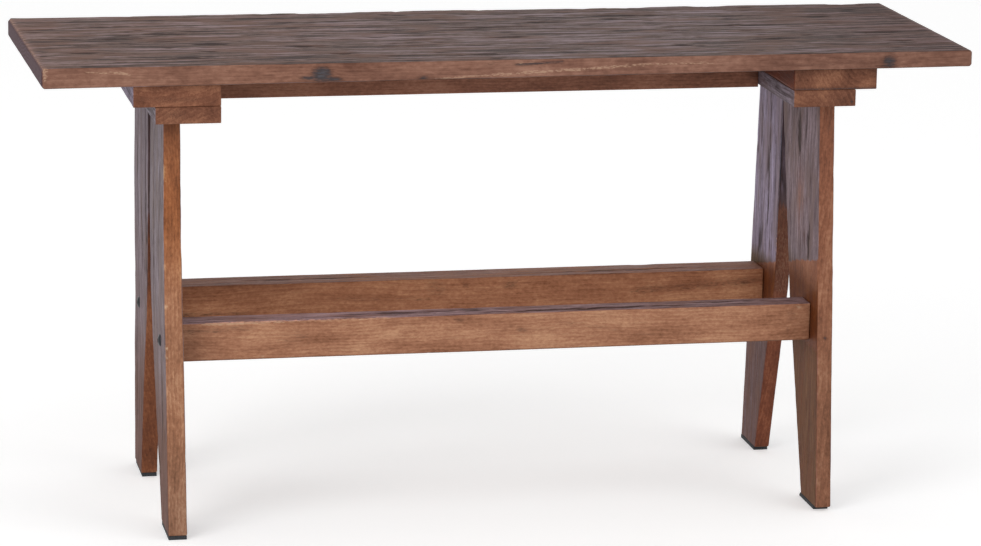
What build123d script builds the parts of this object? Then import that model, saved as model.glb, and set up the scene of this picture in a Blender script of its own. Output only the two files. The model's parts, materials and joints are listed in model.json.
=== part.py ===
from build123d import *
import os

# Low trestle bench in old boards: a plank seat on two end frames, with a beam under the seat
# and two stretchers between the legs. Millimetres. X runs along the bench to the right,
# Y from its front to its back, Z up. The origin is on the floor under the seat's middle.

# Seat plank, thinner towards its right end and sawn a little out of square at its left end
seat_length = 903.0
seat_depth = 300.0
seat_height = 460.0
seat_left_thickness = 20.0
seat_right_thickness = 16.5
seat_skew = 7.0
seat_corner_radius = 5.0
seat_top_radius = 2.0
seat_bottom_radius = 1.2

# Two battens across each end, one under the other, flush on their inner sides
seat_end_overhang = 92.5
seat_side_overhang = 9.5
upper_batten_width = 82.5
upper_batten_thickness = 21.0
lower_batten_width = 62.0
lower_batten_thickness = 16.3
batten_radius = 0.8

# Beam on edge between the battens of both ends
beam_thickness = 26.0
beam_radius = 0.8

# Each leg is two boards side by side, and a notch opens downwards between their feet
leg_thickness = 16.0
leg_set_in = 10.5
leg_top_inset = 33.5
foot_splay = 33.0
leg_radius = 1.4
left_joint_offset = -3.0
right_joint_offset = 20.0
left_joint_length = 103.0
right_joint_length = 27.5
left_foot_width = 56.0
right_foot_width = 53.0
knee_height = 192.0
knee_radius = 110.0
left_front_knee_share = 0.2
left_back_knee_share = 0.28
right_front_knee_share = 0.28
right_back_knee_share = 0.36

# Stretchers between the legs' inner faces
stretcher_height = 37.5
stretcher_front_thickness = 29.0
stretcher_back_thickness = 38.0
stretcher_front_bottom = 165.0
stretcher_back_bottom = 161.0
stretcher_front_inset = 53.5
stretcher_back_inset = 49.5
stretcher_radius = 1.2

# Pads under the feet, those of the right end set a little further back than the feet
pad_thickness = 4.0
pad_width = 15.0
pad_end_inset = 1.0
pad_corner_radius = 1.5
right_front_pad_shift = 8.0
right_back_pad_shift = 3.0

# Bolts through the legs, with domed heads outside and barrel nuts inside the stretchers
bolt_radius = 3.0
bolt_length = 60.0
bolt_head_radius = 6.0
bolt_head_height = 3.0
bolt_socket_radius = 2.3
bolt_socket_depth = 1.6
nut_radius = 5.0
nut_length = 16.0
nut_inset = 36.0

# Wood screws: through battens and beam up into the seat, and through battens down into the legs
seat_screw_radius = 2.0
seat_screw_head_radius = 4.0
seat_screw_bite = 12.0
leg_screw_radius = 2.5
leg_screw_head_radius = 4.8
leg_screw_bite = 45.0
screw_tip_length = 5.0
head_sink = 0.5
drive_slot_width = 0.9
drive_slot_depth = 1.2
drive_slot_share = 1.2

# Dowels that locate the beam's ends in the battens
dowel_radius = 4.0
dowel_length = 40.0
dowel_end_clearance = 1.0

# Nails that hold the pads
nail_radius = 0.9
nail_length = 15.0
nail_head_radius = 2.3
nail_head_height = 0.8
nail_sink = 1.0
nail_tip_length = 2.0

# All fasteners sit in holes wider than themselves by this much all round
fastener_clearance = 0.15

# Places of the fasteners along the piece that carries them
seat_screw_shares = (-0.84, -0.34, 0.34, 0.84)
beam_screw_shares = (-0.6, 0, 0.6)
leg_screw_shares = (0.25, 0.75)
nail_shares = (-0.25, 0.25)

# Distances from the middle of the bench, worked out from the sizes above
upper_batten_outer = seat_length / 2 - seat_end_overhang
batten_inner = upper_batten_outer - upper_batten_width
lower_batten_outer = batten_inner + lower_batten_width
leg_outer = lower_batten_outer - leg_set_in
leg_inner = leg_outer - leg_thickness
leg_middle = (leg_outer + leg_inner) / 2
seat_screw_row = (batten_inner + leg_inner) / 2
batten_end = seat_depth / 2 - seat_side_overhang
leg_top_edge = batten_end - leg_top_inset
leg_foot_edge = leg_top_edge + foot_splay
stretcher_front_row = stretcher_front_inset - leg_foot_edge
stretcher_back_row = leg_foot_edge - stretcher_back_inset
sides = {"left": -1, "right": 1}


def underside(x):
    """Height of the seat's underside at a place along its length."""
    slope = (seat_left_thickness - seat_right_thickness) / seat_length
    return seat_height - seat_left_thickness + slope * (x + seat_length / 2)


# Heights where the two battens of an end meet, and of the lower batten's underside
seam_height = {
    end: underside(side * (batten_inner + upper_batten_outer) / 2) - upper_batten_thickness
    for end, side in sides.items()
}
frame_bottom = {end: seam - lower_batten_thickness for end, seam in seam_height.items()}


def beam_bottom(x):
    """Height of the beam's underside, which runs from one frame's underside to the other's."""
    rise = (frame_bottom["right"] - frame_bottom["left"]) / (2 * batten_inner)
    return frame_bottom["left"] + rise * (x + batten_inner)


# The two boards of each leg: their end, their side of the joint, and the outline of the notch
leg_boards = {
    "leg_front_left": ("left", -1, left_joint_offset, left_joint_length,
                       left_foot_width, left_front_knee_share),
    "leg_back_left": ("left", 1, left_joint_offset, left_joint_length,
                      left_foot_width, left_back_knee_share),
    "leg_front_right": ("right", -1, right_joint_offset, right_joint_length,
                        right_foot_width, right_front_knee_share),
    "leg_back_right": ("right", 1, right_joint_offset, right_joint_length,
                       right_foot_width, right_back_knee_share),
}
pad_shifts = {"leg_front_right": right_front_pad_shift, "leg_back_right": right_back_pad_shift}


def leg_screw_places(name):
    """Places of one leg board's screws, spread between its upright joint and its outer edge."""
    end, face, joint = leg_boards[name][:3]
    reach = face * leg_top_edge - joint
    return [(sides[end] * leg_middle, joint + reach * share) for share in leg_screw_shares]


def seat_screw_places(end):
    """Places of one end's seat screws, in a row between the beam's end and the leg."""
    return [(sides[end] * seat_screw_row, share * batten_end) for share in seat_screw_shares]


def pad_box(name):
    """Middle and length of the pad under one leg board, along Y."""
    face, foot_width = leg_boards[name][1], leg_boards[name][4]
    middle = face * (leg_foot_edge - foot_width / 2) + pad_shifts.get(name, 0)
    return middle, foot_width - 2 * pad_end_inset


def nail_places(name):
    """Places of the nails that hold one pad."""
    middle, length = pad_box(name)
    return [(sides[leg_boards[name][0]] * leg_middle, middle + share * length) for share in nail_shares]


beam_screw_places = [(share * batten_inner, 0) for share in beam_screw_shares]

# Each stretcher's place along Y, the height of its underside and its thickness; its bolts run
# along its middle
stretcher_bars = {
    "stretcher_front": (stretcher_front_row, stretcher_front_bottom, stretcher_front_thickness),
    "stretcher_back": (stretcher_back_row, stretcher_back_bottom, stretcher_back_thickness),
}
bolt_lines = [(row, bottom + stretcher_height / 2) for row, bottom, _ in stretcher_bars.values()]


def facing(points, direction):
    """Places whose own Z axis looks in the given direction, so that holes there run against it."""
    return Locations(*[Plane(point, z_dir=direction) for point in points])


def levels(places, height):
    """The given plan places, at a height that is worked out for each."""
    return [(x, y, height(x)) for x, y in places]


up, down = (0, 0, 1), (0, 0, -1)
outward = {"left": (-1, 0, 0), "right": (1, 0, 0)}
inward = {"left": (1, 0, 0), "right": (-1, 0, 0)}

os.makedirs("parts", exist_ok=True)

# Seat plank: a long wedge in side view, trimmed to its plan outline
with BuildPart() as seat_board:
    with BuildSketch(Plane.XZ):
        with BuildLine():
            Polyline(
                (-seat_length / 2, underside(-seat_length / 2)),
                (seat_length / 2, underside(seat_length / 2)),
                (seat_length / 2, seat_height),
                (-seat_length / 2, seat_height),
                close=True,
            )
        make_face()
    extrude(amount=seat_depth / 2, both=True)
    with BuildSketch(Plane.XY):
        with BuildLine():
            Polyline(
                (-seat_length / 2 + seat_skew, -seat_depth / 2),
                (seat_length / 2, -seat_depth / 2),
                (seat_length / 2, seat_depth / 2),
                (-seat_length / 2, seat_depth / 2),
                close=True,
            )
        make_face()
    extrude(amount=seat_height, mode=Mode.INTERSECT)
    fillet(seat_board.edges().filter_by(Axis.Z), radius=seat_corner_radius)
    fillet(seat_board.faces().sort_by(Axis.Z)[-1].edges(), radius=seat_top_radius)
    fillet(seat_board.faces().sort_by(Axis.Z)[0].edges(), radius=seat_bottom_radius)
    for end in sides:
        with facing(levels(seat_screw_places(end), underside), down):
            Hole(seat_screw_radius + fastener_clearance, seat_screw_bite + fastener_clearance)
    with facing(levels(beam_screw_places, underside), down):
        Hole(seat_screw_radius + fastener_clearance, seat_screw_bite + fastener_clearance)
seat_board.part.label = "seat_board"
export_step(seat_board.part, "parts/seat_board.step")

for end, side in sides.items():
    seam = seam_height[end]
    dowel_depth = dowel_length / 2 + dowel_end_clearance
    legs_here = [name for name in leg_boards if leg_boards[name][0] == end]
    screws_down = [place for name in legs_here for place in leg_screw_places(name)]

    # Upper batten: its top face follows the seat's underside
    with BuildPart() as upper_batten:
        with BuildSketch(Plane.XZ):
            with BuildLine():
                Polyline(
                    (side * batten_inner, seam),
                    (side * upper_batten_outer, seam),
                    (side * upper_batten_outer, underside(side * upper_batten_outer)),
                    (side * batten_inner, underside(side * batten_inner)),
                    close=True,
                )
            make_face()
        extrude(amount=batten_end, both=True)
        fillet(upper_batten.edges(), radius=batten_radius)
        with facing(levels(screws_down, lambda x: underside(x) - head_sink), up):
            CounterSinkHole(
                leg_screw_radius + fastener_clearance,
                leg_screw_head_radius + fastener_clearance,
                upper_batten_thickness * 2,
                counter_sink_angle=90,
            )
        with facing(levels(seat_screw_places(end), lambda x: seam), down):
            Hole(seat_screw_radius + fastener_clearance, upper_batten_thickness * 2)
        with facing([(side * batten_inner, 0, seam + upper_batten_thickness / 2)], inward[end]):
            Hole(dowel_radius + fastener_clearance, dowel_depth)
    upper_batten.part.label = f"upper_batten_{end}"
    export_step(upper_batten.part, f"parts/upper_batten_{end}.step")

    # Lower batten: narrower, with the seat screws' heads sunk in its underside
    with BuildPart() as lower_batten:
        with BuildSketch(Plane.XY.offset(frame_bottom[end])):
            with Locations((side * (batten_inner + lower_batten_outer) / 2, 0)):
                Rectangle(lower_batten_width, batten_end * 2)
        extrude(amount=lower_batten_thickness)
        fillet(lower_batten.edges(), radius=batten_radius)
        with facing(levels(screws_down, lambda x: seam), up):
            Hole(leg_screw_radius + fastener_clearance, lower_batten_thickness * 2)
        with facing(levels(seat_screw_places(end), lambda x: frame_bottom[end] + head_sink), down):
            CounterSinkHole(
                seat_screw_radius + fastener_clearance,
                seat_screw_head_radius + fastener_clearance,
                lower_batten_thickness * 2,
                counter_sink_angle=90,
            )
        with facing([(side * batten_inner, 0, seam - lower_batten_thickness / 2)], inward[end]):
            Hole(dowel_radius + fastener_clearance, dowel_depth)
    lower_batten.part.label = f"lower_batten_{end}"
    export_step(lower_batten.part, f"parts/lower_batten_{end}.step")

# Beam: as high as both battens together, butted between them
with BuildPart() as under_beam:
    with BuildSketch(Plane.XZ):
        with BuildLine():
            Polyline(
                (-batten_inner, beam_bottom(-batten_inner)),
                (batten_inner, beam_bottom(batten_inner)),
                (batten_inner, underside(batten_inner)),
                (-batten_inner, underside(-batten_inner)),
                close=True,
            )
        make_face()
    extrude(amount=beam_thickness / 2, both=True)
    long_edges = under_beam.edges().filter_by(Axis.Y, reverse=True).filter_by(Axis.Z, reverse=True)
    fillet(long_edges, radius=beam_radius)
    with facing(levels(beam_screw_places, lambda x: beam_bottom(x) + head_sink), down):
        CounterSinkHole(
            seat_screw_radius + fastener_clearance,
            seat_screw_head_radius + fastener_clearance,
            (upper_batten_thickness + lower_batten_thickness) * 2,
            counter_sink_angle=90,
        )
    for end, side in sides.items():
        heights = (
            seam_height[end] + upper_batten_thickness / 2,
            seam_height[end] - lower_batten_thickness / 2,
        )
        with facing([(side * batten_inner, 0, height) for height in heights], outward[end]):
            Hole(dowel_radius + fastener_clearance, dowel_length / 2 + dowel_end_clearance)
under_beam.part.label = "under_beam"
export_step(under_beam.part, "parts/under_beam.step")

# Leg boards: the outer edge splays from top to foot, the inner one leaves the joint at the notch
for name, (end, face, joint, joint_length, foot_width, knee_share) in leg_boards.items():
    side = sides[end]
    foot_inner = leg_foot_edge - foot_width
    knee = (face * knee_share * foot_inner, knee_height)
    bolt_line = bolt_lines[0 if face < 0 else 1]
    with BuildPart() as leg:
        with BuildSketch(Plane.YZ.offset(side * leg_middle)) as outline:
            with BuildLine():
                Polyline(
                    (face * leg_top_edge, frame_bottom[end]),
                    (joint, frame_bottom[end]),
                    (joint, frame_bottom[end] - joint_length),
                    knee,
                    (face * foot_inner, pad_thickness),
                    (face * leg_foot_edge, pad_thickness),
                    close=True,
                )
            make_face()
            fillet(outline.vertices().sort_by_distance(knee)[0], radius=knee_radius)
        extrude(amount=leg_thickness / 2, both=True)
        outer_edge = leg.faces().sort_by(Axis.Y)[0 if face < 0 else -1]
        fillet(outer_edge.edges().filter_by(Axis.X, reverse=True), radius=leg_radius)
        with facing(levels(leg_screw_places(name), lambda x: frame_bottom[end]), up):
            Hole(leg_screw_radius + fastener_clearance, leg_screw_bite + fastener_clearance)
        with facing([(side * leg_outer, *bolt_line)], outward[end]):
            Hole(bolt_radius + fastener_clearance, leg_thickness * 2)
        with facing(levels(nail_places(name), lambda x: pad_thickness), down):
            Hole(nail_radius + fastener_clearance, nail_length)
    leg.part.label = name
    export_step(leg.part, f"parts/{name}.step")

# Pads: strips under the feet, each nailed from below
for name in leg_boards:
    middle, length = pad_box(name)
    with BuildPart() as pad:
        with BuildSketch(Plane.XY):
            with Locations((sides[leg_boards[name][0]] * leg_middle, middle)):
                RectangleRounded(pad_width, length, pad_corner_radius)
        extrude(amount=pad_thickness)
        with facing([(x, y, 0) for x, y in nail_places(name)], down):
            CounterBoreHole(
                nail_radius + fastener_clearance,
                nail_head_radius + fastener_clearance,
                nail_sink + nail_head_height,
            )
    pad.part.label = name.replace("leg", "foot_pad")
    export_step(pad.part, f"parts/{pad.part.label}.step")

# Stretchers: bars with a bolt bore in each end and a barrel nut's hole from below
bolt_bore_depth = bolt_length - leg_thickness + dowel_end_clearance
nut_hole_depth = (stretcher_height + nut_length) / 2 + fastener_clearance
for name, (row, bottom, thickness) in stretcher_bars.items():
    with BuildPart() as stretcher:
        with BuildSketch(Plane.XY.offset(bottom)):
            with Locations((0, row)):
                Rectangle(2 * leg_inner, thickness)
        extrude(amount=stretcher_height)
        fillet(stretcher.edges().filter_by(Axis.X), radius=stretcher_radius)
        for end, side in sides.items():
            with facing([(side * leg_inner, row, bottom + stretcher_height / 2)], outward[end]):
                Hole(bolt_radius + fastener_clearance, bolt_bore_depth)
            with facing([(side * (leg_inner - nut_inset), row, bottom)], down):
                Hole(nut_radius + fastener_clearance, nut_hole_depth)
    stretcher.part.label = name
    export_step(stretcher.part, f"parts/{name}.step")

# One bolt, its domed head above and its shank below the plane that it is seated on
with BuildPart() as bolt:
    with BuildSketch(Plane.XZ):
        with BuildLine():
            Line((0, -bolt_length), (bolt_radius, -bolt_length))
            Line((bolt_radius, -bolt_length), (bolt_radius, 0))
            Line((bolt_radius, 0), (bolt_head_radius, 0))
            EllipticalCenterArc((0, 0), bolt_head_radius, bolt_head_height)
            Line((0, bolt_head_height), (0, -bolt_length))
        make_face()
    revolve(axis=Axis.Z)
    with BuildSketch(Plane.XY.offset(bolt_head_height)):
        RegularPolygon(bolt_socket_radius, 6)
    extrude(amount=-bolt_socket_depth, mode=Mode.SUBTRACT)

with BuildPart() as stretcher_bolts:
    for end, side in sides.items():
        with facing([(side * leg_outer, *line) for line in bolt_lines], outward[end]):
            add(bolt.part)
stretcher_bolts.part.label = "stretcher_bolts"
export_step(stretcher_bolts.part, "parts/stretcher_bolts.step")

# Barrel nuts: short upright cylinders with a cross bore for the bolt
with BuildPart() as barrel_nuts:
    for side in sides.values():
        middles = [(side * (leg_inner - nut_inset), *line) for line in bolt_lines]
        with Locations(*middles):
            Cylinder(nut_radius, nut_length)
        with facing(middles, (1, 0, 0)):
            Cylinder(bolt_radius + fastener_clearance, nut_radius * 4, mode=Mode.SUBTRACT)
barrel_nuts.part.label = "barrel_nuts"
export_step(barrel_nuts.part, "parts/barrel_nuts.step")


def wood_screw(head_radius, radius, length):
    """A countersunk screw that points down from the level of its head, with a cross slot."""
    with BuildPart() as screw:
        with BuildSketch(Plane.XZ):
            with BuildLine():
                Polyline(
                    (0, 0),
                    (head_radius, 0),
                    (radius, radius - head_radius),
                    (radius, screw_tip_length - length),
                    (0, -length),
                    close=True,
                )
            make_face()
        revolve(axis=Axis.Z)
        with BuildSketch(Plane.XY):
            Rectangle(head_radius * drive_slot_share, drive_slot_width)
            Rectangle(drive_slot_width, head_radius * drive_slot_share)
        extrude(amount=-drive_slot_depth, mode=Mode.SUBTRACT)
    return screw.part


seat_screw_length = upper_batten_thickness + lower_batten_thickness + seat_screw_bite - head_sink
seat_screw = wood_screw(seat_screw_head_radius, seat_screw_radius, seat_screw_length)
with BuildPart() as seat_screws:
    for end in sides:
        with facing(levels(seat_screw_places(end), lambda x: frame_bottom[end] + head_sink), down):
            add(seat_screw)
    with facing(levels(beam_screw_places, lambda x: beam_bottom(x) + head_sink), down):
        add(seat_screw)
seat_screws.part.label = "seat_screws"
export_step(seat_screws.part, "parts/seat_screws.step")

leg_screw_length = upper_batten_thickness + lower_batten_thickness + leg_screw_bite - head_sink
leg_screw = wood_screw(leg_screw_head_radius, leg_screw_radius, leg_screw_length)
with BuildPart() as leg_screws:
    for name in leg_boards:
        with facing(levels(leg_screw_places(name), lambda x: underside(x) - head_sink), up):
            add(leg_screw)
leg_screws.part.label = "leg_screws"
export_step(leg_screws.part, "parts/leg_screws.step")

# Dowels: two at each end of the beam, half in the beam and half in a batten
with BuildPart() as beam_dowels:
    for end, side in sides.items():
        middles = [
            (side * batten_inner, 0, seam_height[end] + upper_batten_thickness / 2),
            (side * batten_inner, 0, seam_height[end] - lower_batten_thickness / 2),
        ]
        with facing(middles, outward[end]):
            Cylinder(dowel_radius, dowel_length)
beam_dowels.part.label = "beam_dowels"
export_step(beam_dowels.part, "parts/beam_dowels.step")

# One nail, pointing down from the top of its flat head
with BuildPart() as nail:
    with BuildSketch(Plane.XZ):
        with BuildLine():
            Polyline(
                (0, 0),
                (nail_head_radius, 0),
                (nail_head_radius, -nail_head_height),
                (nail_radius, -nail_head_height),
                (nail_radius, nail_tip_length - nail_length),
                (0, -nail_length),
                close=True,
            )
        make_face()
    revolve(axis=Axis.Z)

with BuildPart() as pad_nails:
    for name in leg_boards:
        with facing([(x, y, nail_sink) for x, y in nail_places(name)], down):
            add(nail.part)
pad_nails.part.label = "pad_nails"
export_step(pad_nails.part, "parts/pad_nails.step")
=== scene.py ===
# %% [markdown]
# # A low trestle bench in old boards
#
# This lesson dresses a measured model of a backless bench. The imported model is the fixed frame: it gives
# every piece its place and its real size. Here each board is made again as weathered wood, with worn
# arrises, raised grain, drying checks and knots, and each piece gets a finish built from nodes.
# Everything is in metres in the frame's own axes: X along the bench, Y from front to back, Z up.

# %% Load the frame
import json
import math

import bmesh
import bpy
from mathutils import Matrix, Vector, noise


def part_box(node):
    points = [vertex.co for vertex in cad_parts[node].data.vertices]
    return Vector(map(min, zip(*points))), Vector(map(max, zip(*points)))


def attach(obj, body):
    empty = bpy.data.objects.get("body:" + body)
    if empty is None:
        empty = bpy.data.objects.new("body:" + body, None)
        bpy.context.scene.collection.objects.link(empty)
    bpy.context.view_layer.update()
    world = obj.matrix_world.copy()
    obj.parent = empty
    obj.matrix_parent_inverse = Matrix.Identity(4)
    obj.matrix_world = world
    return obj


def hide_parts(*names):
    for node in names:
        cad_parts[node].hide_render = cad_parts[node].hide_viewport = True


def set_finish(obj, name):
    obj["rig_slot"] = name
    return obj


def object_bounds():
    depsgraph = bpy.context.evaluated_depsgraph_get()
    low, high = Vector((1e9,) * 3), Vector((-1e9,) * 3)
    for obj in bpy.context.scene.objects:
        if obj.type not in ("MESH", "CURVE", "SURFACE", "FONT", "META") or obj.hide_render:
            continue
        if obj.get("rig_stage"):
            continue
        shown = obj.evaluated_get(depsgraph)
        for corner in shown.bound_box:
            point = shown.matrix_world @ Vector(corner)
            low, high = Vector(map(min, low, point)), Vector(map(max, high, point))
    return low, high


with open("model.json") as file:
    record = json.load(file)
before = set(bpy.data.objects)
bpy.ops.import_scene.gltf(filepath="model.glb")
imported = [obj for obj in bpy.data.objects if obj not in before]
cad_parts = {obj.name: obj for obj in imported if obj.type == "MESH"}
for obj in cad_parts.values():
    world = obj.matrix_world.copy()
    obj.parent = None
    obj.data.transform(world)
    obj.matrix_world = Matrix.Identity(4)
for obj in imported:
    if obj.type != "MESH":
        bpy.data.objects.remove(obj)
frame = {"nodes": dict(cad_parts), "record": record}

cad_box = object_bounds()
boxes = {name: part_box(name) for name in frame["nodes"]}
MM = 0.001
print("pieces in the frame:", len(frame["nodes"]))
print("size in mm:", [round(side / MM, 1) for side in cad_box[1] - cad_box[0]])

# %% [markdown]
# ## The camera
#
# A camera could be placed by eye, but the straight edges of a bench give its place away. The numbers below
# come from matching the corners of the boards to the photograph: a long lens, about 3.7 m away, a little
# to the left of the bench and above it. There is no shift, so other views keep the bench in the middle.

# %% Camera
CAMERA_PLACE_MM = (-743.9, -3643.5, 1066.5)
CAMERA_YAW, CAMERA_PITCH, CAMERA_ROLL = 0.20422, -0.22385, 0.01474
FOCAL_PIXELS, PICTURE_WIDTH, SENSOR_MM = 3845.94, 981, 36.0

forward = Vector((
    math.sin(CAMERA_YAW) * math.cos(CAMERA_PITCH),
    math.cos(CAMERA_YAW) * math.cos(CAMERA_PITCH),
    math.sin(CAMERA_PITCH),
))
level_right = Vector((math.cos(CAMERA_YAW), -math.sin(CAMERA_YAW), 0))
level_up = level_right.cross(forward)
right = math.cos(CAMERA_ROLL) * level_right + math.sin(CAMERA_ROLL) * level_up
up = right.cross(forward)

camera_data = bpy.data.cameras.new("photo_camera")
camera_data.sensor_width = SENSOR_MM
camera_data.lens = FOCAL_PIXELS * SENSOR_MM / PICTURE_WIDTH
camera_data.clip_end = 40
camera = bpy.data.objects.new("photo_camera", camera_data)
bpy.context.scene.collection.objects.link(camera)
camera.matrix_world = Matrix.Translation(Vector(CAMERA_PLACE_MM) * MM) @ Matrix(
    (right, up, -forward)
).transposed().to_4x4()
bpy.context.scene.camera = camera
print("lens in mm:", round(camera_data.lens, 1))

# %% [markdown]
# ## A sawn board
#
# A board is a box, but a plain box has knife edges and no points inside its faces. So the box is bevelled
# first, which gives the worn arrises, and then its long edges are subdivided, which lays a grid of cells
# over every face. The grid is what the grain and the cracks are pressed into later. Cells are longer
# along the grain than across it, because wood changes slowly along its fibres.

# %% Make a box with rounded arrises and a grid on every face
CELLS_WORTH_CUTTING = 1.8


def plain_box(low, high):
    """A bmesh box between two corners."""
    bm = bmesh.new()
    bmesh.ops.create_cube(bm, size=1)
    bmesh.ops.scale(bm, vec=high - low, verts=bm.verts)
    bmesh.ops.translate(bm, vec=(low + high) / 2, verts=bm.verts)
    return bm


def round_edges(bm, edges, radius, segments=3):
    """Rounds some edges of a bmesh."""
    bmesh.ops.bevel(bm, geom=edges, offset=radius, segments=segments, profile=0.5,
                    affect="EDGES", material=-1)


def lies_along(edge, axis):
    """True if an edge runs along one of the three axes."""
    run = edge.verts[1].co - edge.verts[0].co
    return abs(run[axis]) > 0.999 * run.length


def sawn_board(low, high, arris, cell, upright_arris=None):
    """A bmesh box between two corners, its edges rounded and its faces cut into cells of a size."""
    bm = plain_box(low, high)
    if upright_arris:
        half_height = (high - low).z / 2
        upright = [e for e in bm.edges if abs((e.verts[0].co - e.verts[1].co).z) > half_height]
        round_edges(bm, upright, upright_arris, segments=4)
        around = [e for e in bm.edges if abs((e.verts[0].co - e.verts[1].co).z) < half_height]
        round_edges(bm, around, arris)
    else:
        round_edges(bm, bm.edges[:], arris)
    for axis in range(3):
        shortest = CELLS_WORTH_CUTTING * cell[axis]
        long_edges = [e for e in bm.edges if lies_along(e, axis) and e.calc_length() > shortest]
        if long_edges:
            cuts = round(long_edges[0].calc_length() / cell[axis]) - 1
            bmesh.ops.subdivide_edges(bm, edges=long_edges, cuts=cuts, use_grid_fill=True)
    return bm


def object_from(bm, name):
    """Turns a bmesh into an object of the scene."""
    mesh = bpy.data.meshes.new(name)
    bm.to_mesh(mesh)
    bm.free()
    made = bpy.data.objects.new(name, mesh)
    bpy.context.scene.collection.objects.link(made)
    return made


trial = sawn_board(Vector((0, 0, 0)), Vector((0.1, 0.05, 0.02)), 1 * MM, (0.01, 0.005, 0.005))
print("faces of a trial board:", len(trial.faces))
trial.free()

# %% [markdown]
# ## Grain that can be felt
#
# Weather eats the soft early wood and leaves the hard late wood standing, so an old plank has long low
# ridges. A bump in the material could fake that, but it would vanish at the silhouette and in the exported
# mesh. Here the grid's points are moved instead. The height is noise that is stretched along the grain,
# with a few long hollows where the surface has been eaten deeper. The same height is stored on the mesh,
# so that the material can colour the hollows darker, for dirt and as painted shade.

# %% Height of the weathered surface
# Each pattern: its size along the grain and across it
RIDGE_MM, STRAND_MM, HOLLOW_MM, PIT_MM = (110.0, 3.6), (38, 2.1), (42.0, 7.0), (17, 4.3)
DRIFT_RUN_MM, DRIFT_WIDTH_MM, DRIFT_MM = 210, 70, 4.0
HOLLOW_FROM, HOLLOW_GAIN = 0.36, 2.2


def fibre_height(along, across, depth, seed):
    """Height of weathered grain in shares of its relief: ridges near 0.5, hollows down to -1."""
    drift = DRIFT_MM * noise.noise(Vector((along / DRIFT_RUN_MM, across / DRIFT_WIDTH_MM, seed)))

    def pattern(size, shift, layer):
        run, width = size
        return noise.noise(Vector((along / run, (across + shift) / width, depth / width + layer)))

    eaten = pattern(HOLLOW_MM, drift, 2 * seed) + 0.6 * pattern(PIT_MM, -drift, 3 * seed)
    hollow = max(0.0, eaten - HOLLOW_FROM) * HOLLOW_GAIN
    return 0.42 * pattern(RIDGE_MM, drift, seed) + 0.25 * pattern(STRAND_MM, drift, -seed) - hollow


samples = [fibre_height(7 * i, 3.1 * i, 0, 5) for i in range(400)]
print("grain height runs from", round(min(samples), 2), "to", round(max(samples), 2))

# %% [markdown]
# ## Cracks, knots, bruises
#
# Marks are listed one by one: where each one lies along and across its board, how long and wide it is, and
# how deep. A crack is a narrow groove that thins out at both ends, with rims torn along the fibres. A knot
# or a stain is a soft patch, or a streak between two points, with a strength; the material later gives it
# a ragged rim. A bruise is a worn or chipped place where paler wood shows.

# %% Press marks into a surface
WAVE_RUN_MM, TEAR_RUN_MM, TEAR_WIDTH_MM = 14, 15, 2.3


def held(value):
    """A value held between 0 and 1."""
    return min(1.0, max(0.0, value))


def groove(along, across, line):
    """Share of a groove's depth at a place: 1 on its line, 0 away from it or past its ends."""
    start, middle, length, width, lean = line
    t = (along - start) / length
    if not 0 < t < 1:
        return 0.0
    wave = 0.8 * width * noise.noise(Vector((along / WAVE_RUN_MM, middle, 3.0)))
    tear = noise.noise(Vector((along / TEAR_RUN_MM, across / TEAR_WIDTH_MM, middle)))
    torn = max(0.2, 1 + 1.3 * tear)
    half_width = width * torn * (0.25 + math.sin(math.pi * t) ** 2)
    offset = (across - middle - lean * (along - start) - wave) / half_width
    return math.exp(-offset * offset) * min(1.0, 6 * t, 6 * (1 - t))


def spot(centre, radii, strength=1.0):
    """A mark round one point."""
    return centre, centre, radii, strength


def on_plane(axis, value):
    """A function that puts two coordinates on a plane across an axis, 0 for X or 1 for Y."""
    def place(first, height):
        return (value, first, height) if axis == 0 else (first, value, height)
    return place


def patch(place, mark):
    """Strength of a soft mark at a place: full on the line between its two points, 0 past its radii."""
    start, end, radii, strength = mark
    run = [(e - s) / r for s, e, r in zip(start, end, radii)]
    off = [(p - s) / r for p, s, r in zip(place, start, radii)]
    length = sum(q * q for q in run)
    t = held(sum(o * q for o, q in zip(off, run)) / length) if length else 0.0
    return strength * max(0.0, 1 - sum((o - t * q) ** 2 for o, q in zip(off, run)))


print("a groove halfway along it:", round(groove(50, 0, (0, 0, 100, 1.0, 0)), 2))

# %% [markdown]
# ## From a grid to a piece of wood
#
# One function finishes every board. It takes the grid, lets the board's own outline bend it, stores what
# the material needs to know about each point, and then presses the grain and the marks in along the
# point's normal. Five values are stored: how weathered the face is, how deep the point lies in a hollow,
# how stained it is, how bruised, and how much it looks along the grain, as a sawn end does. A vector says
# where the point lies in the log that the board was cut from, along the grain and away from the heart, so
# rings come out as lines on the faces and as arcs on the ends. A colour carries tints, some of them
# painted light and shade: a face, a tint, and where along the board the tint starts and is full.

# %% Finish a board
GRAIN_AXES = {"x": (0, 1, 2), "y": (1, 0, 2), "z": (2, 1, 0)}
END_FADE_MM, DEEP_RELIEF_MM = 14.0, 0.8
WEAR_RUN_MM, LOW_WAVE_RUN_MM = 23, 90
# Every board has its own seed, and its own stretch of the log
SEED_STEP, LOG_STEP_MM = 13.7, 1370
# How dark a crack is coloured, as dirt and as painted shade in its groove
CRACK_SHADE_AND_DIRT = 1.6
# A surface whose normal has this share along an axis counts as facing it
SQUARE_ON = 0.7
STORED =("weathered", "hollow", "stain", "bruise", "end_grain")
LEFT, RIGHT, FRONT, BACK, TOP, BOTTOM = (
    Vector(v) for v in ((-1, 0, 0), (1, 0, 0), (0, -1, 0), (0, 1, 0), (0, 0, 1), (0, 0, -1))
)
board_count = 0


def facing(n, axis):
    """How squarely a surface looks along an axis, 0 to 1, rising across a rounded arris."""
    return held((n.dot(axis) - 0.45) / 0.4)


def no_bend(p):
    """Leaves a point where it is."""
    return p


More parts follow.
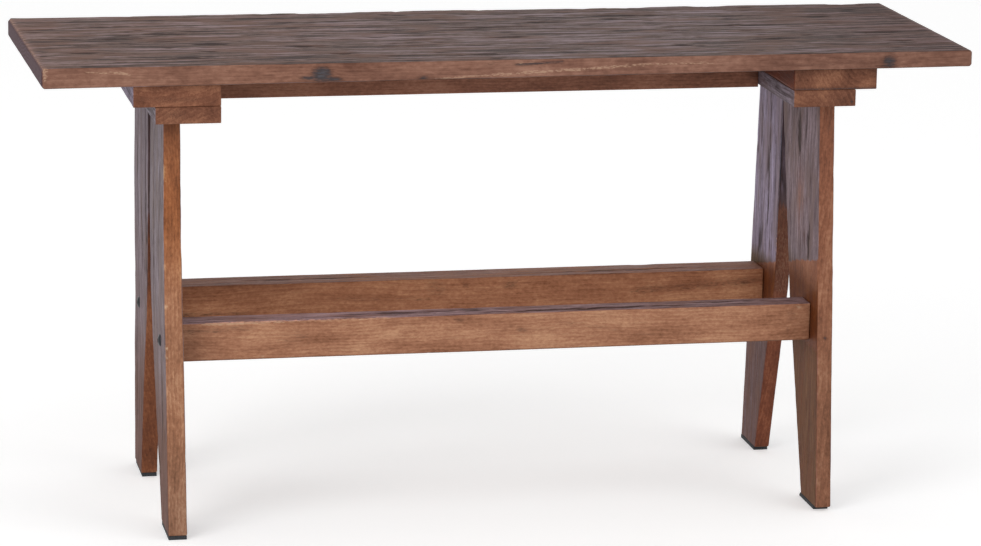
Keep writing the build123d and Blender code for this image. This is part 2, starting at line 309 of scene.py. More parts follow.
def tint_and_painted_light(along, n, tints_and_painted_light):
    """Product of the tints that reach a point, some of them painted light and shade."""
    colour = [1.0, 1.0, 1.0]
    for face, tint, *run in tints_and_painted_light:
        share = facing(n, face)
        if run:
            share *= held((along - run[0]) / (run[1] - run[0]))
        colour = [c * (1 + share * (k - 1)) for c, k in zip(colour, tint)]
    return colour


def finish_board(name, node, slot, bm, grain, weathered, relief, heart, bend=no_bend, grooves=(), stains=(),
                 bruises=(), tints_and_painted_light=(), wobble=0.25):
    """Turns a grid into a board piece. Places and sizes of marks, and the way to the heart, are in mm."""
    global board_count
    board_count += 1
    seed = SEED_STEP * board_count
    a, b, c = GRAIN_AXES[grain]
    low, high = boxes[node]
    middle = (low + high) / 2 / MM
    half_run = (high[a] - low[a]) / 2 / MM
    for vert in bm.verts:
        vert.co = Vector(bend(vert.co / MM)) * MM
    bmesh.ops.recalc_face_normals(bm, faces=bm.faces)
    bm.normal_update()
    layers = {key: bm.verts.layers.float.new(key) for key in STORED}
    in_log = bm.verts.layers.float_vector.new("in_log")
    tint = bm.verts.layers.float_color.new("tone")
    for vert in bm.verts:
        p, n = vert.co / MM, vert.normal.copy()
        bare = weathered(p, n)
        height = fibre_height(p[a], p[b], p[c], seed)
        cut, dark = 0.0, 0.0
        for *line, deep, face in grooves:
            if n.dot(face) > SQUARE_ON:
                share = groove(p[a], p[b] if abs(n[b]) < SQUARE_ON else p[c], line)
                cut += share * deep
                dark = max(dark, share)
        stained = max([patch(p, mark) for mark in stains] or [0.0])
        bruised = max([patch(p, mark) for mark in bruises] or [0.0])
        vert[layers["weathered"]] = bare
        depth = max(0.0, -height) * (0.35 + 0.65 * bare) * relief / DEEP_RELIEF_MM
        vert[layers["hollow"]] = min(1.0, depth + CRACK_SHADE_AND_DIRT * dark)
        vert[layers["stain"]] = stained
        vert[layers["bruise"]] = bruised
        vert[layers["end_grain"]] = min(1.0, 1.3 * abs(n[a]))
        vert[in_log] = (p[a] + LOG_STEP_MM * board_count,
                        p[b] - middle[b] + heart[0], p[c] - middle[c] + heart[1])
        vert[tint] = (*tint_and_painted_light(p[a], n, tints_and_painted_light), 1)
        arris = 1 - max(abs(k) for k in n)
        rubbed = noise.noise(Vector(p / WEAR_RUN_MM) + Vector((seed, 0, 0))) - 0.55
        wear = wobble * rubbed * min(1.0, arris * 3.4)
        low_wave = 0.3 * wobble * noise.noise(Vector(p / LOW_WAVE_RUN_MM) + Vector((0, seed, 0)))
        to_end = held((half_run - abs(p[a] - middle[a])) / END_FADE_MM)
        inset = relief * (0.25 + 0.75 * bare) * (0.1 + 0.9 * to_end) * min(0.0, height - 0.35)
        inset -= cut + 0.7 * bruised * wobble
        vert.co += n * (inset + wear + low_wave - 0.3 * wobble) * MM
    piece = object_from(bm, name)
    piece.data.shade_smooth()
    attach(piece, "root")
    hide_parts(node)
    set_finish(piece, slot)
    print(f"{name}: {len(piece.data.polygons)} faces")


print("stored on every point of a board:", ", ".join(STORED))

# %% [markdown]
# ## The seat plank
#
# The seat is one wide old plank, thinner at its right end and sawn a little out of square at its left.
# Its top is grey and deeply grained, its front edge is smooth and brown with two dark knots, and its ends
# are grey. The cell size is the smallest here, because the top is what the eye meets first.

# %% Seat
seat_low, seat_high = boxes["seat_board"]
SEAT_LEFT_MM, SEAT_RIGHT_MM = seat_low.x / MM, seat_high.x / MM
SEAT_FRONT_MM, SEAT_BACK_MM, SEAT_TOP_MM = seat_low.y / MM, seat_high.y / MM, seat_high.z / MM
SEAT_THICK_MM = (seat_high.z - seat_low.z) / MM
SEAT_LEFT_THICK_MM, SEAT_RIGHT_THICK_MM = 20, 16.5
SEAT_THIN_SHARE = SEAT_RIGHT_THICK_MM / SEAT_LEFT_THICK_MM
SEAT_SKEW_MM = 7.0
BACK_WEAR_MM, BACK_CUT_MM, END_ROUND_MM = 12, 0.9, 4


def seat_bend(p):
    """Thins the plank towards its right end, skews its left end and wears its back edge."""
    t = (p.x - SEAT_LEFT_MM) / (SEAT_RIGHT_MM - SEAT_LEFT_MM)
    skew = SEAT_SKEW_MM * (SEAT_BACK_MM - p.y) / (SEAT_BACK_MM - SEAT_FRONT_MM) * (1 - t)
    thin = 1 + (SEAT_THIN_SHARE - 1) * t

    def wave(run, row):
        return noise.noise(Vector((p.x / run, row, 0)))

    edge = 0.9 * wave(60, 1.5) + 0.5 * wave(17, 9.5)
    back = max(0.0, (p.y - SEAT_BACK_MM + BACK_WEAR_MM) / BACK_WEAR_MM)
    worn = max(0.0, 1.6 * wave(31, 4.5) + 0.9 * wave(9, 7.5))
    to_end = min(p.x - SEAT_LEFT_MM, SEAT_RIGHT_MM - p.x)
    rounded = max(0.0, 1 - to_end / END_ROUND_MM) ** 2
    z = SEAT_TOP_MM - (SEAT_TOP_MM - p.z) * thin
    z += 0.2 * rounded * (SEAT_TOP_MM - SEAT_THICK_MM * thin / 2 - z)
    above = p.z - SEAT_TOP_MM + SEAT_THICK_MM
    return p.x + skew, p.y + back * (edge - BACK_CUT_MM), z - back * back * worn * above / SEAT_LEFT_THICK_MM


def seat_weathered(p, n):
    """Grey top, ends and underside; the worn arris between the top and the front is brown."""
    end = 0.85 * (1 - facing(n, FRONT)) * (1 - facing(n, BACK))
    top = held((n.z - 0.78) / 0.16)
    return max(top, 0.8 * facing(n, BOTTOM), end if abs(n.x) > 0.5 else 0.0)


# Cracks on the top: start along X, place along Y, length, width, lean, depth
seat_cracks = [(*crack, TOP) for crack in (
    (-330, 32, 46, 3.0, -0.02, 1.1), (-420, -66, 42, 3.1, -0.05, 0.9), (-322, -106, 40, 2.7, -0.04, 0.9),
    (-290, -30, 38, 2.8, -0.03, 1.0), (-205, -52, 42, 3.3, -0.02, 1.0), (-172, -97, 34, 2.9, -0.03, 1.2),
    (40, 66, 64, 2.9, -0.03, 1.1), (-8, -21, 54, 3.4, -0.04, 1.0), (162, -88, 28, 3.4, -0.03, 1.3),
    (365, -33, 56, 3.1, -0.04, 1.0), (-120, 12, 90, 2.0, 0.01, 0.7), (120, 96, 120, 2.2, -0.01, 0.8),
    (-60, -120, 70, 2.4, 0.02, 0.8), (210, 24, 110, 2.2, 0.01, 0.8), (-400, 84, 85, 2.0, -0.02, 0.7),
    (250, -60, 60, 2.7, 0.02, 0.8), (-250, 118, 75, 2.2, 0.01, 0.8), (330, 70, 60, 2.4, -0.02, 0.8),
    (-30, 40, 90, 2.0, 0.015, 0.8), (60, -70, 80, 2.4, -0.01, 0.8), (-380, 8, 50, 2.5, 0.02, 0.8),
)]

on_edge = on_plane(1, SEAT_FRONT_MM)
# Stains and bruises: a place or two, radii, strength. The second pair of stains is the right knot.
seat_stains = [
    spot(on_edge(-184, 449.5), (15, 9, 11)),
    (on_edge(-200, 446), on_edge(-168, 444), (7, 6, 4), 0.75),
    spot(on_edge(368, 450), (12, 8, 11), 0.82),
    spot(on_edge(360, 445), (12, 6, 5), 0.5),
    spot(on_edge(-87, 444), (9, 6, 3.8), 0.75),
    spot(on_edge(-20, 455), (30, 6, 4), 0.3),
    (on_edge(3, 454.5), on_edge(45, 456.5), (6, 5, 2.3), 0.75),
    (on_edge(-190, 456), on_edge(-260, 458), (10, 6, 2), 0.35),
    (on_edge(250, 447), on_edge(330, 450), (12, 6, 3), 0.3),
]
seat_bruises = [
    spot(on_edge(-443, 458), (6, 6, 4), 0.8),
    spot(on_edge(-441, 451), (2.5, 3, 7), 0.6),
    (on_edge(-400, 455.2), on_edge(-372, 454.6), (5, 4, 1.5), 0.55),
    (on_edge(-372, 454.6), on_edge(-364, 452.6), (3, 4, 1.4), 0.8),
    (on_edge(-68, 443.1), on_edge(10, 446.7), (9, 4, 1.4), 0.6),
    (on_edge(10, 446.7), on_edge(59, 448.8), (9, 4, 1.5), 0.68),
    (on_edge(59, 448.8), on_edge(129, 452.5), (9, 4, 1.5), 0.66),
    (on_edge(129, 452.5), on_edge(190, 453.0), (9, 4, 1.5), 0.5),
    (on_edge(5, 456), on_edge(20, 458.0), (5, 4, 1.3), 0.3),
    (on_edge(-444.4, 459), (-451.4, SEAT_BACK_MM, 459), (2.6, 20, 1.6), 0.6),
]
# Washes: a face, a tint, and for some where along the board it starts and is full
seat_washes = [
    (FRONT, (0.92, 0.92, 0.95), -250, 0), (FRONT, (0.87, 0.86, 0.85), 150, 420),
    (TOP, (0.66, 0.53, 0.49), 230, 420), (LEFT, (0.3, 0.21, 0.28)),
    (TOP, (1.14, 1.03, 0.95), 100, -440), (FRONT, (1.1, 1.1, 1.09)),
    (FRONT, (0.86, 0.86, 0.88), -260, -440),
]
seat_grid = sawn_board(seat_low, seat_high, 1.8 * MM, (4.5 * MM, 1.55 * MM, 1.7 * MM), upright_arris=3.2 * MM)
finish_board("seat_plank", "seat_board", "weathered_plank", seat_grid, "x", seat_weathered, 0.8, (35, 150),
             bend=seat_bend, grooves=seat_cracks, stains=seat_stains, bruises=seat_bruises,
             tints_and_painted_light=seat_washes, wobble=0.5)

# %% [markdown]
# ## The battens and the beam
#
# Two battens cross under each end of the seat, and a beam on edge joins them. They are short, thick and
# brown, and their sawn ends face the viewer, so the growth rings there matter more than the grain
# along them. The left pair and the lower right one are grey on the face that looks left.

# %% Battens and beam
BATTEN_FRONT_MM, BEAM_FRONT_MM = -141, -13
on_batten, on_beam = on_plane(1, BATTEN_FRONT_MM), on_plane(1, BEAM_FRONT_MM)


def brown_all_round(p, n):
    """No face is weathered."""
    return 0.0


def grey_left_side(p, n):
    """The face that looks left is weathered."""
    return 0.95 * facing(n, LEFT)


SEAT_SLOPE = SEAT_THICK_MM * (1 - SEAT_THIN_SHARE) / (SEAT_RIGHT_MM - SEAT_LEFT_MM)


def wedge_under_seat(node):
    """A bend that lets a piece's top follow the seat's sloping underside."""
    low, high = boxes[node]

    def bend(p):
        t = (p.z - low.z / MM) / ((high.z - low.z) / MM)
        drop = SEAT_SLOPE * (high.x / MM - p.x)
        return p.x, p.y, p.z - drop * t
    return bend


def long_back(p):
    """Lets a lower batten stand a little further out at the back."""
    return p.x, p.y * (1.03 if p.y > 0 else 1.0), p.z


batten_looks = {
    "upper_batten_left": dict(
        weathered=grey_left_side, heart=(25, -150),
        # The first tint is painted shade on the face and arris that look right
        tints_and_painted_light=[(RIGHT, (0.8, 0.7, 0.62)), (LEFT, (1.28, 1.27, 1.5)), (FRONT, (1.09, 1.07, 1.06))],
        # These two stains are painted shade along the joint with the lower batten
        stains=[(on_batten(-350, 427), on_batten(-300, 426), (22, 6, 5), 0.4),
                spot(on_batten(-285, 424), (8, 6, 5), 0.35)]),
    "lower_batten_left": dict(
        weathered=grey_left_side, heart=(-70, 130),
        tints_and_painted_light=[(LEFT, (1.04, 1.06, 1.1)), (FRONT, (0.94, 0.92, 0.92))],
        stains=[spot(on_batten(-318, 412), (18, 6, 6), 0.4),
                # Painted shade: a dark line along the joint with the upper batten
                (on_batten(-335, 421), on_batten(-282, 421), (9, 6, 2.2), 0.7)]),
    "upper_batten_right": dict(
        # The tint on the left face keeps it brown and darkens it further with painted shade under the seat
        weathered=brown_all_round, heart=(-45, -38), tints_and_painted_light=[(LEFT, (0.55, 0.22, 0.02))],
        # The first stain is painted shade: a dark line along the joint with the lower batten
        stains=[(on_batten(274, 423.6), on_batten(356, 423.4), (9, 8, 1.8), 0.8),
                spot(on_batten(284, 441), (8, 6, 4), 0.4)]),
    "lower_batten_right": dict(
        weathered=grey_left_side, heart=(32, 24),
        tints_and_painted_light=[(LEFT, (1.1, 1.06, 1.1)), (LEFT, (0.8, 0.66, 0.58), -60, 60), (FRONT, (0.9, 0.88, 0.88))],
        stains=[spot(on_batten(334, 410), (2.4, 4, 2.4)), spot(on_batten(331, 416), (1.8, 4, 1.6)),
                ((276, -40, 412), (276, 20, 414), (5, 14, 3), 0.5),
                spot(on_batten(322, 411), (12, 6, 7), 0.4)]),
}
for name, look in batten_looks.items():
    grid = sawn_board(*boxes[name], 0.9 * MM, (3 * MM, 3.5 * MM, 2 * MM))
    bend = wedge_under_seat(name) if name.startswith("upper") else long_back
    finish_board(f"{name}_wood", name, "stained_batten", grid, "y", bend=bend, relief=0.35, **look)

beam_grid = sawn_board(*boxes["under_beam"], 0.5 * MM, (4 * MM, 2.6 * MM, 2.6 * MM))
finish_board("under_beam_wood", "under_beam", "stained_beam", beam_grid, "x", brown_all_round,
             relief=0.35, heart=(40, -70), bend=wedge_under_seat("under_beam"),
             tints_and_painted_light=[(FRONT, (1.06, 0.98, 0.92)), (FRONT, (0.9, 0.88, 0.84), 0, -200)],
             stains=[spot(on_beam(49, 411.7), (3, 4, 2.6), 0.55), spot(on_beam(-16, 415), (2.4, 4, 6), 0.42),
                     (on_beam(40, 425), on_beam(150, 428), (20, 6, 3), 0.35),
                     spot(on_beam(277, 418), (16, 6, 18), 0.5)])

# %% [markdown]
# ## The legs
#
# Each leg is two boards side by side. Their outer edges splay from top to foot and their inner edges part
# into a notch with a soft knee. The grid of a plain box follows such an outline well if each of its
# points is slid sideways between the two edges. Near an edge the distance is kept, so that the rounded
# arris stays as wide at the narrow foot as at the top.

# %% Outline of the notch
LEG_TOP_EDGE_MM, LEG_FOOT_EDGE_MM = 107.0, 140.0
KNEE_HEIGHT_MM, KNEE_SOFTNESS_MM = 192.0, 6.0
FOOT_BOTTOM_MM = boxes["leg_front_left"][0].z / MM
EDGE_KEEP_MM, LEFT_BOW_MM = 4.0, 1.6

# Each board: its end, its side of the joint, the joint's place and length, foot width, knee's place
leg_boards = {
    "leg_front_left": ("left", -1, -3.0, 103.0, 56.0, -16.8),
    "leg_back_left": ("left", 1, -3.0, 103.0, 56.0, 23.5),
    "leg_front_right": ("right", -1, 20.0, 27.5, 53.0, -24.4),
    "leg_back_right": ("right", 1, 20.0, 27.5, 53.0, 31.3),
}


def inner_edge(name, z):
    """Place of a leg board's inner edge at a height."""
    _, face, joint, joint_length, foot_width, knee = leg_boards[name]
    notch_top = boxes[name][1].z / MM - joint_length
    if z >= notch_top:
        return joint
    foot = face * (LEG_FOOT_EDGE_MM - foot_width)
    above = (joint - knee) / (notch_top - KNEE_HEIGHT_MM)
    below = (knee - foot) / (KNEE_HEIGHT_MM - FOOT_BOTTOM_MM)
    rise = z - KNEE_HEIGHT_MM
    soft = math.sqrt(rise * rise + KNEE_SOFTNESS_MM ** 2)
    return knee + (above + below) / 2 * rise + (above - below) / 2 * soft


def outer_edge(name, z):
    """Place of a leg board's outer edge at a height. The left leg's boards bow out a little."""
    end, face = leg_boards[name][:2]
    t = (z - FOOT_BOTTOM_MM) / (boxes[name][1].z / MM - FOOT_BOTTOM_MM)
    bow = LEFT_BOW_MM * math.sin(math.pi * t) if end == "left" else 0.0
    return face * (LEG_FOOT_EDGE_MM + (LEG_TOP_EDGE_MM - LEG_FOOT_EDGE_MM) * t + bow)


for name in leg_boards:
    edge_places = [round(inner_edge(name, z), 1) for z in (4, 100, 192, 300, 400)]
    print(name, "inner edge from foot to top:", edge_places)

# %% Leg boards
BOX_HALF_MM = 50.0
BROWN_LINE_MM, BROWN_LINE_LEAN = 222, 0.235

LEFT_LEG_OUTER_MM, RIGHT_LEG_INNER_MM = -328, 312

# How far the faces of the left boards stand out. Each row: a height, the outer face, the inner face.
OUTER_FACE, INNER_FACE = 1, 2
LEFT_BOARD_SWELL_MM = {
    "leg_front_left": ((4, 0.0, 2.6), (182, -0.8, 1.4), (220, -1.2, 0.8), (300, -0.9, 0.8), (400, 0.6, 1.2)),
    "leg_back_left": ((4, -0.6, 0.0), (130, -1.4, 0.0), (182, -0.9, 0.0), (300, -2.5, 0.0), (400, -2.0, 0.0)),
}


def swell(name, z, side):
    """How far one face of a board stands out at a height, between the measured heights."""
    rows = LEFT_BOARD_SWELL_MM.get(name, ((0, 0, 0), (1000, 0, 0)))
    for lower, upper in zip(rows, rows[1:]):
        if z <= upper[0]:
            t = max(0.0, (z - lower[0]) / (upper[0] - lower[0]))
            return lower[side] + t * (upper[side] - lower[side])
    return rows[-1][side]


def leg_bend(name):
    """A bend that slides a box's points between the leg board's two edges, and swells the left boards."""
    face_left, face_right = boxes[name][0].x / MM, boxes[name][1].x / MM

    def bend(p):
        one, two = sorted((inner_edge(name, p.z), outer_edge(name, p.z)))
        left, right_side = p.y + BOX_HALF_MM, BOX_HALF_MM - p.y
        through = (p.x - face_left) / (face_right - face_left)
        x = p.x + (1 - through) * swell(name, p.z, OUTER_FACE) + through * swell(name, p.z, INNER_FACE)
        if left < EDGE_KEEP_MM:
            return x, one + left, p.z
        if right_side < EDGE_KEEP_MM:
            return x, two - right_side, p.z
        t = (left - EDGE_KEEP_MM) / (2 * BOX_HALF_MM - 2 * EDGE_KEEP_MM)
        return x, one + EDGE_KEEP_MM + t * (two - one - 2 * EDGE_KEEP_MM), p.z
    return bend


def left_leg_weathered(p, n):
    """Grey outer face, browner towards the foot; brown edges, and a dark joint high up."""
    low = held((p.z - 60) / 220)
    joint = held((p.z - 285) / 12) if p.y > -10 else 0.0
    return max(facing(n, LEFT) * (0.62 + 0.38 * low), facing(n, RIGHT) * 0.6, facing(n, FRONT) * joint)


def right_leg_weathered(p, n):
    """Grey inner face, brown below a slanting line, duller below the stretchers; a notch grey high up."""
    line = BROWN_LINE_MM - BROWN_LINE_LEAN * p.y
    above = held((p.z - line) / 4 + 0.5)
    low = 0.5 * held((168 - p.z) / 10)
    notch = held((p.z - 255) / 40) if p.y > 0 else 0.0
    ruddy = 0.5 * max(0.0, 1 - ((p.y + 50) / 42) ** 2 - ((p.z - 300) / 95) ** 2)
    return max(facing(n, LEFT) * max(above - ruddy, low), facing(n, RIGHT) * 0.7, facing(n, FRONT) * notch)


on_left_leg, on_right_leg = on_plane(0, LEFT_LEG_OUTER_MM), on_plane(0, RIGHT_LEG_INNER_MM)
GREY_LEFT_FOOT = [(LEFT, (0.88, 0.75, 0.68), 300, 110), (LEFT, (0.79, 0.56, 0.42), 160, 90)]
leg_looks = {
    "leg_front_left": dict(
        weathered=left_leg_weathered, heart=(45, 80),
        tints_and_painted_light=[*GREY_LEFT_FOOT, (FRONT, (0.92, 0.8, 0.6), 230, 300), (FRONT, (1.43, 1.4, 1.23), 390, 320),
                (FRONT, (0.92, 1.06, 1.22), 330, 190), (FRONT, (0.88, 0.96, 1.05), 110, 30)],
        grooves=[(150, -40, 240, 2.6, 0.03, 0.9, LEFT), (210, -78, 150, 2.2, -0.02, 0.7, LEFT),
                 (60, -102, 120, 2.0, 0.02, 0.6, LEFT)],
        stains=[((-314, -120, 200), (-313, -124, 150), (4, 6, 16), 0.45),
                spot((-322, -118, 300), (6, 8, 24), 0.3),
                (on_left_leg(-5, 400), on_left_leg(-5, 296), (4, 2.4, 8), 0.75),
                spot((-320, -110, 395), (12, 9, 9), 0.4)],
        bruises=[spot(on_left_leg(y, z), (3, 6, size), 0.8) for y, z, size in (
            (-113, 352, 11), (-121, 262, 5), (-124, 226, 3), (-127, 185, 3), (-128, 178, 3))]),
    "leg_back_left": dict(
        weathered=left_leg_weathered, heart=(-60, 95),
        tints_and_painted_light=[*GREY_LEFT_FOOT, (FRONT, (0.76, 0.62, 0.47)), (FRONT, (0.4, 0.34, 0.4), 190, 290),
                (LEFT, (0.9, 0.86, 0.88))],
        grooves=[(160, 20, 230, 3.0, -0.02, 1.1, LEFT), (190, 52, 120, 2.4, 0.02, 0.8, LEFT),
                 (40, 110, 150, 2.0, 0.0, 0.6, LEFT), (230, 84, 160, 2.0, 0.0, 0.6, LEFT)],
        stains=[(on_left_leg(-1, 400), on_left_leg(2, 296), (4, 2.4, 8), 0.75),
                spot(on_left_leg(44, 245), (4, 4, 26), 0.6),
                (on_left_leg(16, 400), on_left_leg(14, 330), (4, 3, 14), 0.5)]),
    "leg_front_right": dict(
        weathered=right_leg_weathered, heart=(-50, 70),
        tints_and_painted_light=[(LEFT, (0.42, 0.23, 0.03), 240, 214), (LEFT, (1.46, 1.58, 5.0), 175, 150),
                (FRONT, (0.92, 0.84, 0.83), 180, 330), (FRONT, (1.0, 1.06, 1.1), 200, 120),
                # The last tint is painted light: it lightens the inner face high up, where the seat shades it
                (LEFT, (1.2, 1.08, 1.06), 215, 260)],
        grooves=[(330, -42, 60, 4.0, 0.02, 0.5, LEFT), (236, -84, 50, 3.0, 0.0, 0.4, LEFT)],
        stains=[spot(on_right_leg(-46, 365), (5, 9, 34), 0.6), spot(on_right_leg(-72, 300), (5, 7, 9), 0.5),
                spot(on_right_leg(-68, 262), (5, 9, 12), 0.5), spot(on_right_leg(-58, 246), (5, 5, 16), 0.55),
                (on_right_leg(-62, 226), on_right_leg(-60, 205), (5, 5, 6), 0.5),
                spot((320, -124, 172.5), (3.6, 5, 4)),
                ((322, -109, 395), (322, -109, 380), (9, 6, 12), 0.4)],
        bruises=[((310, -113, 378), (310, -118, 300), (2, 3, 12), 0.5)]),
    "leg_back_right": dict(
        weathered=right_leg_weathered, heart=(40, 75),
        # The second tint here is painted shade: it darkens the inner edge in the notch
        tints_and_painted_light=[(LEFT, (0.44, 0.26, 0.08), 218, 202), (FRONT, (0.42, 0.33, 0.31)),
                (FRONT, (1.05, 1.15, 1.4), 250, 290), (FRONT, (1.65, 1.5, 1.35), 190, 160),
                # The first tint on this line is painted light: it lightens the inner face high up, where the
                # seat shades it
                (LEFT, (1.56, 1.57, 1.88), 202, 218), (LEFT, (1.47, 1.95, 5.8), 175, 150)],
        grooves=[(215, 64, 185, 1.4, 0.0, 0.4, LEFT)],
        stains=[(on_right_leg(22.5, 400), on_right_leg(25, 300), (4, 3.4, 8), 0.8),
                (on_right_leg(26, 300), on_right_leg(31, 235), (4, 2.6, 8), 0.7),
                ((320, 27, 262), (320, 42, 190), (14, 6, 20), 0.42),
                (on_right_leg(62, 398), on_right_leg(66, 300), (4, 2, 12), 0.5)],
        bruises=[((320, 34, 186), (320, 28, 246), (16, 9, 8), 0.32)]),
}
for name, look in leg_looks.items():
    low, high = boxes[name]
    grid = sawn_board(Vector((low.x, -BOX_HALF_MM * MM, low.z)), Vector((high.x, BOX_HALF_MM * MM, high.z)),
                      1.3 * MM, (2.2 * MM, 2.1 * MM, 4 * MM))
    finish_board(f"{name}_wood", name, "weathered_leg", grid, "z", bend=leg_bend(name), relief=0.6,
                 wobble=0.4, **look)

# %% [markdown]
# ## The stretchers
#
# Two square-edged bars hold the legs apart. The front one is the palest wood on the bench, the back one is
# darker, and both have a grey top with a long drying crack.

# %% Stretchers
def grey_top(p, n):
    """The top is weathered."""
    return 0.9 * facing(n, TOP)


def faded_top(p, n):
    """The top is half weathered."""
    return 0.5 * facing(n, TOP)


def bar_places(name):
    """Places along Y of a bar's middle and of its front face, in mm."""
    low, high = boxes[name]
    return (low.y + high.y) / 2 / MM, low.y / MM


front_row, front_face = bar_places("stretcher_front")
back_row, back_face = bar_places("stretcher_back")
on_front_bar, on_back_bar = on_plane(1, front_face), on_plane(1, back_face)
stretcher_looks = {
    "stretcher_front": dict(
        weathered=grey_top, heart=(30, -45),
        tints_and_painted_light=[(TOP, (1.6, 1.3, 1.2)), (TOP, (1.4, 1.38, 1.44), 150, -200), (FRONT, (1.07, 1.09, 1.09))],
        grooves=[(-160, front_row + 3, 120, 1.8, 0.0, 1.0, TOP),
                 (-40, front_row - 6, 260, 2.2, 0.01, 1.2, TOP),
                 (180, front_row + 4, 110, 1.6, 0.0, 0.8, TOP)],
        stains=[spot(on_front_bar(292, 190), (6, 5, 8), 0.45), spot(on_front_bar(289, 175), (4, 5, 8), 0.3),
                spot(on_front_bar(-40, 197.5), (8, 5, 4), 0.5), spot(on_front_bar(22, 186), (9, 4, 5), 0.5),
                spot(on_front_bar(-200, 184), (26, 4, 12), 0.3),
                (on_front_bar(-308, 194), on_front_bar(-250, 196), (16, 4, 4), 0.4),
                (on_front_bar(60, 192), on_front_bar(150, 176), (10, 4, 2), 0.25),
                # The last stain is painted shadow: a thin dark line along the bottom arris
                (on_front_bar(-312, 165), on_front_bar(312, 165), (20, 3, 1.7), 0.6)],
        bruises=[(on_front_bar(-283, 201.6), on_front_bar(-215, 202), (9, 5, 1.8), 0.8),
                 (on_front_bar(-215, 202), on_front_bar(-110, 202), (9, 5, 1.4), 0.5),
                 spot(on_front_bar(300, 199.5), (5, 4, 3), 0.5),
                 spot(on_front_bar(-232, 168), (5, 4, 3), 0.4),
                 spot(on_front_bar(-70, 165), (3, 4, 2), 0.6)]),
    "stretcher_back": dict(
        weathered=faded_top, heart=(-35, -55),
        tints_and_painted_light=[(FRONT, (1.02, 0.95, 0.86)), (FRONT, (1.1, 1.1, 1.07), 0, -250), (TOP, (1.42, 1.2, 0.98))],
        grooves=[(-250, back_row, 180, 1.6, 0.0, 0.8, TOP), (60, back_row - 5, 200, 1.5, 0.01, 0.8, TOP)],
        stains=[spot(on_back_bar(-30, 188), (16, 4, 14), 0.35), spot(on_back_bar(46, 190), (12, 4, 7), 0.5),
                (on_back_bar(-300, 168), on_back_bar(-230, 168), (20, 4, 6), 0.45),
                (on_back_bar(-130, 181), on_back_bar(-40, 178), (20, 4, 4), 0.3),
                (on_back_bar(190, 180), on_back_bar(300, 186), (26, 4, 6), 0.45),
                spot(on_back_bar(0, 192), (4, 4, 7), 0.5)]),
}
for name, look in stretcher_looks.items():
    grid = sawn_board(*boxes[name], 1.3 * MM, (3.6 * MM, 2.1 * MM, 2.1 * MM))
    finish_board(f"{name}_wood", name, "stained_stretcher", grid, "x", relief=0.5, wobble=0.35, **look)

# %% [markdown]
# ## The foot pads
#
# A thin black strip is nailed under each foot. A rounded box would do, but the strips were cut with
# a knife, so their inner ends slope, most of all under the right front foot.

# %% Pads
PAD_TOP_MM, PAD_ROUND_MM = 4, 0.5
PAD_SLOPES_MM = {"foot_pad_front_left": 0.6, "foot_pad_back_left": 0.6,
                 "foot_pad_front_right": 3.2, "foot_pad_back_right": 1.2}

for name, slope in PAD_SLOPES_MM.items():
    low, high = boxes[name]
    wider = swell(name.replace("foot_pad", "leg"), PAD_TOP_MM, INNER_FACE) * MM
    high = high + Vector((wider, 0, 0))
    inner, outer = sorted((low.y, high.y), key=abs)
    bm = plain_box(low, high)
    tips = [v for v in bm.verts if abs(v.co.y - inner) < MM and v.co.z > (low.z + high.z) / 2]
    bmesh.ops.translate(bm, vec=(0, math.copysign(slope * MM, outer - inner), 0), verts=tips)
    round_edges(bm, bm.edges[:], PAD_ROUND_MM * MM)
    pad = object_from(bm, f"{name}_rubber")
    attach(pad, "root")
    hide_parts(name)
    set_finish(pad, "black_rubber")
print("pads:", len(PAD_SLOPES_MM))

# %% [markdown]
# ## Nodes and colours
#
# A material is a small tree of nodes. One function adds a node with its settings and its links, and one
# turns a colour written as sRGB hex, as it is read off a screen, into the linear values that a renderer
# works in.

# %% Add a node, turn a colour to linear
def linear(code):
    """Linear RGBA of an sRGB hex colour."""
    values = [int(code[i:i + 2], 16) / 255 for i in (1, 3, 5)]
    return (*[v / 12.92 if v <= 0.04045 else ((v + 0.055) / 1.055) ** 2.4 for v in values], 1)


def add(tree, kind, inputs=(), output=0, stops=(), **settings):
    """Adds a node and returns one of its outputs. Each input is a value or a socket that feeds it."""
    node = tree.nodes.new(kind)
    for key, value in settings.items():
        setattr(node, key, value)
    for key, value in dict(inputs).items():
        if isinstance(value, bpy.types.NodeSocket):
            tree.links.new(value, node.inputs[key])
        else:
            node.inputs[key].default_value = value
    for place, _ in stops[2:]:
        node.color_ramp.elements.new(place)
    for point, (place, colour) in zip(node.color_ramp.elements if stops else (), stops):
        point.position, point.color = place, linear(colour)
    return node.outputs[output] if node.outputs else node


def new_material(name, **constants):
    """A material with one surface shader. The constants go on the shader's own sockets."""
    material = bpy.data.materials.new(name)
    material.use_nodes = True
    tree = material.node_tree
    tree.nodes.clear()
    surface = add(tree, "ShaderNodeBsdfPrincipled")
    add(tree, "ShaderNodeOutputMaterial", {"Surface": surface})
    for key, value in constants.items():
        surface.node.inputs[key.replace("_", " ")].default_value = value
    return material, tree, surface.node


# A mix of colours, and its sockets for the share and for the two colours
RGBA_MIX = dict(data_type="RGBA", output=2)
FAC, A, B = 0, 6, 7
print("mid grey in linear:", [round(v, 3) for v in linear("#808080")])

# %% [markdown]
# ## Old pine
#
# The wood is old softwood. Where weather and wax have worked on it, it is grey, with light ridges, dark
# hollows and short drying checks. Where it was sawn or planed later, it is stained brown, and the growth
# rings show. Both finishes are in one material, and the stored value says which of them a face has.
#
# The rings are a solid pattern: circles round the heart of the log, so they come out as lines along the
# board and as arcs on its ends, as they do in a real board. All the sizes are real ones in millimetres.
# The coordinates are the stored place in the log, whose first axis is the grain.

